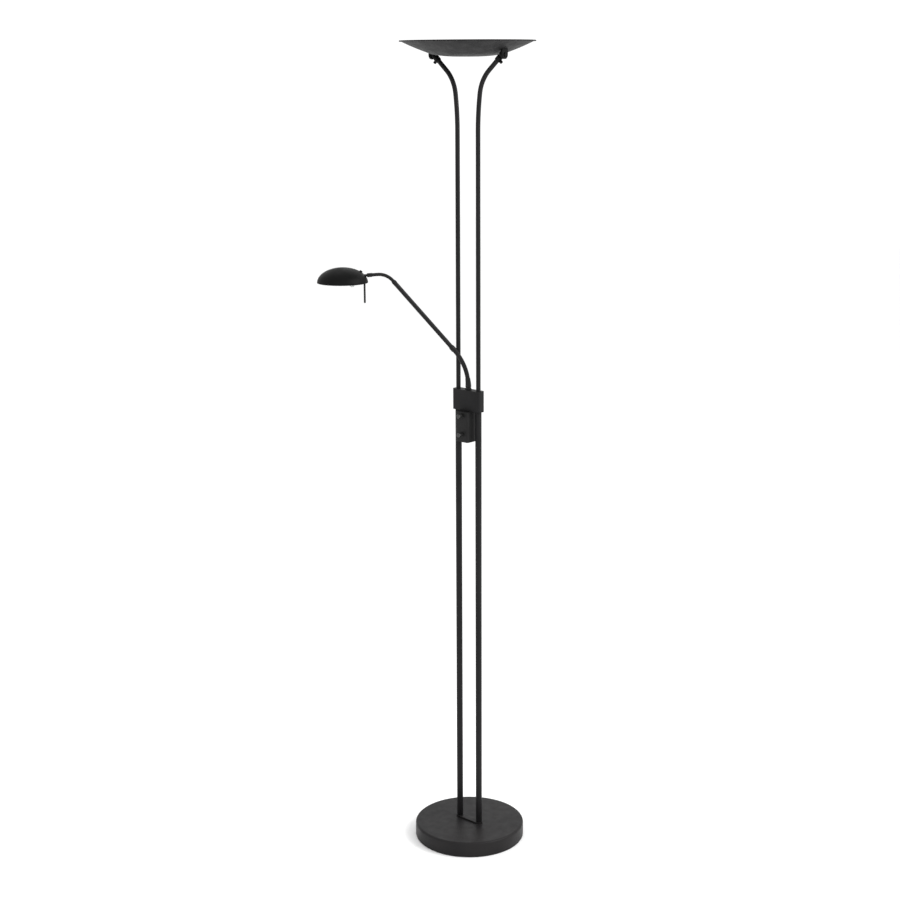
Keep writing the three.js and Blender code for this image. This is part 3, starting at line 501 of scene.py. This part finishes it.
# ---- Base ----
def make_base():
    low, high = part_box("base_cover")
    radius = high.x
    edge = []
    edge_steps = 10
    for step in range(edge_steps + 1):
        angle = math.pi / 2 * step / edge_steps
        edge.append((
            radius - BASE_EDGE * (1 - math.cos(angle)),
            high.z - BASE_EDGE * (1 - math.sin(angle)),
        ))
    inner_radius = radius - BASE_SHEET
    wall = [
        (inner_radius, high.z - BASE_EDGE),
        (inner_radius, low.z + 0.2 * MM),
        (radius - 1.1 * MM, low.z),
        (radius - 0.4 * MM, low.z),
        (radius, low.z + 0.5 * MM),
        (radius, low.z + 12 * MM),
    ]
    ceiling = [(0, high.z - BASE_SHEET), (radius - BASE_EDGE, high.z - BASE_SHEET)]
    top = [(radius * share, high.z) for share in (0.95, 0.9, 0.75, 0.5, 0.25, 0)]
    cover = lathe(ceiling + wall + edge + top, segments=160)
    make_piece("spun_base_cover", cover, [BASE_COAT], "stand", ["base_cover"])

    low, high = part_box("base_pad")
    pad_profile = rounded([(0, low.z), (high.x, low.z), (high.x, high.z), (0, high.z)], 0.8 * MM)
    pad = lathe(pad_profile, segments=128)
    make_piece("floor_pad", pad, [RUBBER], "stand", ["base_pad"])

    refined("foot_plate", "pole_foot_plate", BASE_COAT, 0.5)
    refined("cable_gland", "base_cable_gland", RUBBER, 0.5)
    refined("base_weight", "cast_base_weight", IRON, 1.0)
    for side, _ in SIDES:
        refined(f"base_nut_{side}", f"hex_nut_{side}", STEEL, 0.4)
        refined(f"base_stud_{side}", f"threaded_stud_{side}", STEEL, 0.3)


# ---- Poles ----
def make_poles():
    for side, sign in SIDES:
        low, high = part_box(f"lower_pole_{side}")
        radius = (high.x - low.x) / 2
        centre = Vector(((low.x + high.x) / 2, 0, 0))
        foot = [
            (radius - 1 * MM, low.z + 6 * MM),
            (radius - 1 * MM, low.z + 0.2 * MM),
            (radius - 0.7 * MM, low.z),
            (radius - 0.3 * MM, low.z),
            (radius, low.z + 0.4 * MM),
        ]
        top = [(r, low.z + high.z - z) for r, z in reversed(foot)]
        shaft = [(radius, low.z + (high.z - low.z) * k / 12) for k in range(1, 12)]
        profile = [(0, foot[0][1])] + foot + shaft + top + [(0, top[-1][1])]
        tube = lathe(profile, centre, UP, 48)
        make_piece(f"lower_tube_{side}", tube, [COAT], "stand", [f"lower_pole_{side}"])

        low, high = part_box(f"upper_pole_{side}")
        upper_radius = high.y
        x = sign * abs(middle(f"base_stud_{side}").x)
        outward = X_AXIS * sign
        slow_rise = SLOW_BEND[0] * math.sin(math.radians(SLOW_BEND[1]))
        lean = math.radians(SLOW_BEND[1] + FAST_BEND[1])
        fast_rise = FAST_BEND[0] * (math.sin(lean) - math.sin(math.radians(SLOW_BEND[1])))
        end_rise = POLE_TOP_RUN * math.cos(lean) + upper_radius * math.sin(lean)
        bend_start = high.z - slow_rise - fast_rise - end_rise
        stations = walk(Vector((x, 0, low.z)), UP, [
            ("straight", bend_start - low.z, 10),
            ("bend", SLOW_BEND[0], SLOW_BEND[1], outward, 12),
            ("bend", FAST_BEND[0], FAST_BEND[1], outward, 28),
            ("straight", POLE_TOP_RUN, 2),
        ])
        tube = sweep(stations, upper_radius, Y_AXIS, 40, hollow=upper_radius - UPPER_POLE_WALL)
        make_piece(f"upper_tube_{side}", tube, [COAT], "stand", [f"upper_pole_{side}"])
        refined(f"knuckle_{side}", f"tilt_knuckle_{side}", FITTING_COAT_AND_RIM_SHADE, 0.4)
        refined(f"socket_screw_{side}", f"thumb_screw_{side}", FITTING_COAT_AND_RIM_SHADE, 0.25)
        refined(f"block_screw_{side}", f"set_screw_{side}", STEEL, 0.25)


# ---- Block, housing, dimmers and knobs ----
def make_controls():
    refined("pole_block", "cast_pole_block", COAT, 0.7, 4)
    refined("control_housing", "dimmer_housing", PLASTIC, 0.8, 4)
    refined("housing_cover", "dimmer_rear_cover", PLASTIC, 0.3)
    refined("circuit_board", "dimmer_board", BOARD, 0.15, 2)
    for level in ("upper", "lower"):
        refined(f"cover_screw_{level}", f"rear_screw_{level}", STEEL, 0.25)
        refined(f"{level}_dimmer", f"{level}_dimmer_body", PLASTIC, 0.3)
        make_knob(level)


def make_knob(level):
    """A tapered knob with fine grip flutes, a domed face and a raised pointer."""
    low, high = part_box(f"{level}_knob")
    centre = Vector((0, 0, (low.z + high.z) / 2))
    radius = (high.z - low.z) / 2
    face = low.y
    back = face + KNOB_DEPTH
    shaft = KNOB_SHAFT_RADIUS

    def grip(angle, y):
        inside = face + 2.2 * MM < y < back - 1.2 * MM
        return 1 - (0.035 * (0.5 + 0.5 * math.cos(KNOB_FLUTES * angle)) if inside else 0)

    profile = [(0, face + 0.1 * MM), (radius * 0.55, face + 0.12 * MM)]
    profile += [(radius * 0.78, face + 0.3 * MM)]
    profile += [(radius * 0.87, face + 0.8 * MM), (radius * 0.915, face + 1.6 * MM)]
    profile += [(radius * 0.92, face + 2.0 * MM), (radius * 0.925, face + 2.6 * MM)]
    profile += [(radius * (0.93 + 0.05 * k / 8), face + (3 + k) * MM) for k in range(8)]
    profile += [(radius * 0.995, back - 0.9 * MM), (radius, back - 0.3 * MM), (radius * 0.96, back)]
    profile += [(shaft, back), (shaft, high.y - 0.3 * MM), (shaft - 0.3 * MM, high.y), (0, high.y)]
    knob = lathe(profile, centre, Y_AXIS, KNOB_FLUTES * 6, grip)
    body = f"{level}_knob"
    make_piece(f"{level}_dimmer_knob", knob, [KNOB_PLASTIC], body, [f"{level}_knob"])

    pointer = bmesh.new()
    bmesh.ops.create_cube(pointer, size=1)
    bmesh.ops.scale(pointer, vec=(0.7 * MM, 0.4 * MM, radius * 0.6), verts=pointer.verts)
    bmesh.ops.bevel(pointer, geom=list(pointer.edges), offset=0.12 * MM, segments=2, affect="EDGES")
    place = centre + Vector((0, face + 0.2 * MM, radius * 0.42))
    bmesh.ops.translate(pointer, vec=place, verts=pointer.verts)
    make_piece(f"{level}_knob_pointer", pointer, [PLASTIC], body)


# ---- Dish and its lamp ----
def dish_rise(radius, rim_radius, depth):
    """Height of the dish's outside over its lowest point: a nearly flat floor, then a flared wall."""
    if radius <= DISH_FLOOR_RADIUS:
        return DISH_FLOOR_RISE * (radius / DISH_FLOOR_RADIUS) ** 3
    t = (radius - DISH_FLOOR_RADIUS) / (rim_radius - DISH_FLOOR_RADIUS)
    return DISH_FLOOR_RISE + (depth - DISH_FLOOR_RISE) * ((1 - DISH_FLARE) * t + DISH_FLARE * t ** 3)


def make_dish():
    low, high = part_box("dish_bowl")
    rim_radius = high.x
    depth = high.z - low.z
    steps = 40
    radii = [rim_radius * (k / steps) for k in range(steps)]
    outer = [(r, low.z + dish_rise(r, rim_radius, depth)) for r in radii]
    bead = Vector((rim_radius - RIM_BEAD, high.z - RIM_BEAD))
    rim = []
    for step in range(13):
        angle = math.radians(-110 + 200 * step / 12)
        rim.append((bead.x + RIM_BEAD * math.cos(angle), bead.y + RIM_BEAD * math.sin(angle)))
    outer = [(r, z) for r, z in outer if r < rim[0][0] - 1 * MM]
    inner = [(r, z + DISH_SHEET) for r, z in outer]
    profile = outer + rim + inner[::-1]
    bowl = lathe(profile, segments=192)
    looks = [COAT, WHITE, FITTING_COAT_AND_RIM_SHADE]
    dish = make_piece("spun_dish", bowl, looks, "dish", ["dish_bowl"], 60)
    # The rim bead takes the darker fitting coat as painted shade, a dark band round the rim; faces
    # looking up take the white inside coat.
    for face in dish.data.polygons:
        reach = math.hypot(face.center.x, face.center.y)
        if reach > rim[0][0] - 0.5 * MM:
            face.material_index = looks.index(FITTING_COAT_AND_RIM_SHADE)
        elif face.normal.z > 0.2:
            face.material_index = looks.index(WHITE)

    for side, _ in SIDES:
        refined(f"dish_lug_{side}", f"tilt_lug_{side}", FITTING_COAT_AND_RIM_SHADE, 0.5)
        refined(f"pivot_pin_{side}", f"tilt_pin_{side}", FITTING_COAT_AND_RIM_SHADE, 0.3)
        refined(f"lug_screw_{side}", f"lug_bolt_{side}", STEEL, 0.25)
        refined(f"bracket_screw_{side}", f"bracket_stud_{side}", STEEL, 0.2)
        refined(f"lamp_holder_{side}", f"ceramic_holder_{side}", CERAMIC, 0.6)
    refined("lamp_bracket", "lamp_bracket_sheet", STEEL, 0.25)
    refined("shield_glass", "shield_plate", GLASS, 0.5)
    make_linear_lamp()


def make_linear_lamp():
    """A double-ended lamp: quartz tube with pinched ends and a coiled filament."""
    low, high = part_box("halogen_tube")
    centre = (low + high) / 2
    radius = (high.z - low.z) / 2
    half = high.x
    pinch = 2.2 * MM
    profile = [
        (0, -half),
        (1.6 * MM, -half + 0.3 * MM),
        (pinch, -half + 1 * MM),
        (pinch, -half + 6 * MM),
        (3.2 * MM, -half + 8 * MM),
        (radius * 0.93, -half + 10 * MM),
        (radius, -half + 12 * MM),
    ]
    profile += [(r, -x) for r, x in reversed(profile)]
    tube = lathe(profile, centre, X_AXIS, 48)
    make_piece("linear_lamp", tube, [GLASS], "dish", ["halogen_tube"], 60)
    filament = coil(centre, X_AXIS, 1.1 * MM, 0.22 * MM, 2 * half - 30 * MM, 30)
    make_piece("linear_lamp_filament", filament, [STEEL], "dish")


# ---- Reading arm ----
def gooseneck_radius(radius, pitch, depth):
    """The ribbed outside of a flexible hose, as a function of the distance along it."""
    def reach(distance):
        return radius - depth * (0.5 - 0.5 * math.cos(2 * math.pi * distance / pitch)) ** 2

    return reach


def make_arm():
    side = UP.cross(ARM_DIRECTION)
    refined("arm_socket", "gooseneck_socket", COAT, 0.3)
    foot = Vector((0, 0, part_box("lower_gooseneck")[0].z))
    lower = walk(foot, UP, [("bend", *LOWER_ARC, ARM_DIRECTION, 176)])
    top, rise = lower[-1]
    lower_bend = ("arm_foot", "arm", foot, top)
    ribs = gooseneck_radius(LOWER_GOOSENECK_RADIUS, *LOWER_RIBS)
    hose = sweep(lower + [(top + rise * GAP, rise)], ribs, side, 32)
    make_piece("lower_flex_hose", hose, [COAT], lower_bend, ["lower_gooseneck"], 60)

    sleeve_steps = round(HOSE_SLEEVE / (lower[1][0] - lower[0][0]).length)

    def taper(distance):
        share = min(1, distance / HOSE_SLEEVE)
        edge = max(0, share - 0.96) / 0.04
        return LOWER_GOOSENECK_RADIUS + (1.6 - 1.2 * share) * MM - 0.35 * MM * edge ** 2

    sleeve = sweep(lower[:sleeve_steps + 1], taper, side, 32)
    make_piece("hose_sleeve", sleeve, [PLASTIC], lower_bend)
    refined("lower_ferrule", "lower_hose_ferrule", COAT, 0.25)

    run = GAP + LOWER_FERRULE + GAP
    straight = walk(top + rise * run, rise, [("straight", ARM_TUBE_LENGTH, 8)])
    tube = sweep(straight, ARM_TUBE_RADIUS, side, 40)
    make_piece("arm_rigid_tube", tube, [COAT], "arm", ["arm_tube"])
    collar_profile = rounded([
        (0, 0),
        (ARM_TUBE_RADIUS + 0.2 * MM, 0),
        (ARM_TUBE_RADIUS + 0.3 * MM, UPPER_FERRULE * 0.6),
        (UPPER_GOOSENECK_RADIUS + 0.3 * MM, UPPER_FERRULE),
        (0, UPPER_FERRULE),
    ], 0.6 * MM)
    tube_end = straight[-1][0]
    collar = lathe(collar_profile, tube_end + rise * GAP, rise, 40)
    make_piece("upper_hose_ferrule", collar, [COAT], "arm", ["upper_ferrule"])

    start = tube_end + rise * (GAP + UPPER_FERRULE + GAP)
    upper = walk(start, rise, [
        ("bend", *UPPER_ARC, ARM_DIRECTION - UP, 96),
        ("straight", UPPER_RUN, 28),
    ])
    end, end_heading = upper[-1]
    upper_bend = ("arm", "neck", start, end)
    path = [(start - rise * GAP, rise)] + upper + [(end + end_heading * GAP, end_heading)]
    ribs = gooseneck_radius(UPPER_GOOSENECK_RADIUS, *UPPER_RIBS)
    hose = sweep(path, ribs, side, 32)
    make_piece("upper_flex_hose", hose, [COAT], upper_bend, ["upper_gooseneck"], 60)
    refined("neck_ferrule", "neck_collar", COAT, 0.3)


# ---- Reading head ----
def make_head():
    low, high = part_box("reading_shade")
    centre = (low + high) / 2
    centre.z = low.z
    height = high.z - low.z
    radius = (high.x - low.x) / 2
    steps = 32

    def dome(inset):
        angles = [math.pi / 2 * k / steps for k in range(1, steps)]
        return [((radius - inset) * math.cos(a), (height - inset) * math.sin(a)) for a in angles]

    lip = [
        (radius - SHADE_SHEET - 0.2 * MM, 0.5 * MM),
        (radius - SHADE_SHEET, 0.1 * MM),
        (radius - 0.6 * MM, 0),
        (radius - 0.1 * MM, 0.2 * MM),
        (radius, 0.9 * MM),
    ]
    profile = [(0, height - SHADE_SHEET)] + dome(SHADE_SHEET)[::-1] + lip + dome(0) + [(0, height)]
    looks = [SHADE_COAT, WHITE]
    bowl = lathe(profile, centre, UP, 144)
    shade = make_piece("domed_shade", bowl, looks, "head", ["reading_shade"], 60)
    for face in shade.data.polygons:
        offset = face.center - centre
        reach = (math.hypot(offset.x, offset.y) / radius) ** 2 + (offset.z / height) ** 2
        if reach < 0.975 and offset.z > 0.6 * MM and face.normal.z < 0:
            face.material_index = looks.index(WHITE)

    refined("head_block", "neck_block", COAT, 0.3)
    refined("cap_nut", "shade_cap_nut", COAT, 0.3)
    refined("bulb_socket", "ceramic_bulb_socket", CERAMIC, 0.6)

    low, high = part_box("grip_rod")
    rod_radius = (high.x - low.x) / 2
    tip = rounded_end(rod_radius, rod_radius, low.z, 8)
    top = [(rod_radius, high.z - 1 * MM), (rod_radius, high.z), (0, high.z)]
    column = middle("grip_rod")
    column.z = 0
    rod = lathe(tip + top, column, UP, 32)
    make_piece("grip_stick", rod, [COAT], "head", ["grip_rod"])

    low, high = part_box("capsule_bulb")
    column = middle("capsule_bulb")
    column.z = 0
    bulb_radius = (high.x - low.x) / 2
    end = rounded_end(bulb_radius, bulb_radius * 0.9, low.z, 10)
    neck_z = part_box("bulb_socket")[0].z
    shoulder = [
        (bulb_radius, neck_z - 4 * MM),
        (bulb_radius * 0.85, neck_z - 2 * MM),
        (BULB_PIN_RADIUS, neck_z - 0.6 * MM),
    ]
    capsule = lathe(end + shoulder + [(BULB_PIN_RADIUS, high.z), (0, high.z)], column, UP, 40)
    make_piece("capsule_lamp", capsule, [GLASS], "head", ["capsule_bulb"], 60)


def make_cables():
    for node in ("supply_cable", "dish_cable"):
        refined(node, f"{node}_sheath", RUBBER, 0, sharp_angle=80)


# ---- Stage, light and camera ----
def make_stage():
    bm = bmesh.new()
    bmesh.ops.create_grid(bm, x_segments=1, y_segments=1, size=12)
    floor = bpy.data.objects.new("studio_floor", to_mesh(bm, "studio_floor", 38))
    bpy.context.scene.collection.objects.link(floor)
    paper = Material("floor_paper")
    paper.colour(paper.noise(3, 2), (0.93, 0.93, 0.93), (0.95, 0.95, 0.95))
    paper.roughness(paper.noise(8, 2), 0.8, 0.9)
    floor.data.materials.append(paper.material)


def area_light(name, place, size, power):
    """A square soft box aimed at the middle of the lamp."""
    light = bpy.data.lights.new(name, "AREA")
    light.shape = "SQUARE"
    light.size = size
    light.energy = power
    lamp = bpy.data.objects.new(name, light)
    bpy.context.scene.collection.objects.link(lamp)
    lamp.location = place
    lamp.rotation_euler = (LIGHT_TARGET - place).to_track_quat("-Z", "Y").to_euler()


def make_camera():
    view_right = Vector((math.cos(CAMERA_AZIMUTH), math.sin(CAMERA_AZIMUTH), 0))
    toward_camera = Vector((math.sin(CAMERA_AZIMUTH), -math.cos(CAMERA_AZIMUTH), 0))
    data = bpy.data.cameras.new("studio_camera")
    data.lens = CAMERA_LENS
    data.sensor_width = CAMERA_SENSOR
    camera = bpy.data.objects.new("studio_camera", data)
    bpy.context.scene.collection.objects.link(camera)
    place = toward_camera * CAMERA_DISTANCE - view_right * CAMERA_SHIFT_LEFT + UP * CAMERA_HEIGHT
    turn = Matrix.Rotation(CAMERA_AZIMUTH, 4, "Z")
    tilt = Matrix.Rotation(math.pi / 2 - CAMERA_DOWN, 4, "X")
    roll = Matrix.Rotation(CAMERA_ROLL, 4, "Z")
    camera.matrix_world = Matrix.Translation(place) @ turn @ tilt @ roll
    bpy.context.scene.camera = camera
    return view_right, toward_camera


def make_light(view_right, toward_camera):
    world = bpy.data.worlds.new("studio")
    world.use_nodes = True
    background = world.node_tree.nodes["Background"]
    background.inputs["Color"].default_value = (1, 1, 1, 1)
    background.inputs["Strength"].default_value = WORLD_STRENGTH
    bpy.context.scene.world = world
    key_place = view_right * 2.5 + toward_camera * 0.9 + UP * 2.8
    area_light("key_softbox", key_place, 1.8, 80)
    fill_place = toward_camera * 3.0 - view_right * 1.6 + UP * 2.4
    area_light("fill_softbox", fill_place, 2.2, 10)


bpy.context.scene.view_settings.view_transform = "Standard"
view_right, toward_camera = make_camera()
make_light(view_right, toward_camera)
make_stage()
make_base()
make_poles()
make_controls()
make_dish()
make_arm()
make_head()
make_cables()
